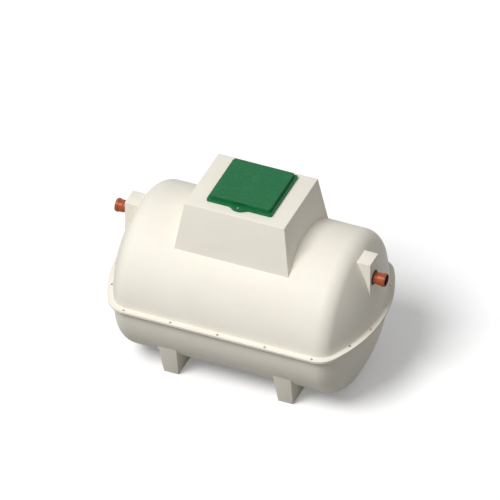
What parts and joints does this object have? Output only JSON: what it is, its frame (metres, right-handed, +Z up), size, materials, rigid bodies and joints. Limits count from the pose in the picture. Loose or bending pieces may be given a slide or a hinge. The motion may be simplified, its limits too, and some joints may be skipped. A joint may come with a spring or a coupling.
{
  "type": "packaged sewage treatment plant",
  "caption": "Horizontal two-shell treatment tank on feet, with a mid bolting flange, a tapered access turret with a hinged square lid, and boxed inlet and outlet pipe sockets",
  "frame": {"origin": "on the ground under the middle of the tank", "axes": "+X from the inlet end to the outlet end, +Z up, the lid's lock tab faces -Y and its hinges are on the +Y side"},
  "size_m": [2.6562, 1.644, 1.9503],
  "materials": {
    "cream_laminate": "cream gelcoat, satin",
    "green_lid": "moulded, fine grain",
    "brown_pipe": "smooth drain pipe",
    "black_rubber": "matt",
    "zinc_steel": "zinc plated"
  },
  "bodies": {
    "tank": {"upper_barrel": "cream_laminate", "upper_inlet_end": "cream_laminate", "upper_outlet_end": "cream_laminate", "lower_barrel": "cream_laminate", "lower_inlet_end": "cream_laminate", "lower_outlet_end": "cream_laminate", "upper_flange": "cream_laminate", "lower_flange": "cream_laminate", "turret_front_wall": "cream_laminate", "turret_back_wall": "cream_laminate", "turret_outlet_side_wall": "cream_laminate", "turret_inlet_side_wall": "cream_laminate", "turret_top": "cream_laminate", "turret_coaming": "cream_laminate", "inlet_box": "cream_laminate", "outlet_box": "cream_laminate", "foot_back_inlet": "cream_laminate", "foot_back_outlet": "cream_laminate", "foot_front_inlet": "cream_laminate", "foot_front_outlet": "cream_laminate", "flange_gasket": "black_rubber", "inlet_ring_seal": "black_rubber", "outlet_ring_seal": "black_rubber", "inlet_grommet": "black_rubber", "outlet_grommet": "black_rubber", "lock_insert": "zinc_steel", "hinge_bracket_inlet_side": "zinc_steel", "hinge_bracket_outlet_side": "zinc_steel", "hinge_pin_inlet_side": "zinc_steel", "hinge_pin_outlet_side": "zinc_steel", "inlet_pipe": "brown_pipe", "outlet_pipe": "brown_pipe"},
    "lid": {"access_lid": "green_lid", "lid_seal": "black_rubber", "lid_lock": "zinc_steel", "lid_hinge_leaf_inlet_side": "zinc_steel", "lid_hinge_leaf_outlet_side": "zinc_steel"}
  },
  "joints": [
    {"name": "lid_hinge", "type": "hinge", "parent": "tank", "child": "lid", "pos_m": [0, 0.355, 1.9003], "axis": [-1, 0, 0], "range_deg": [0, 105]}
  ]
}
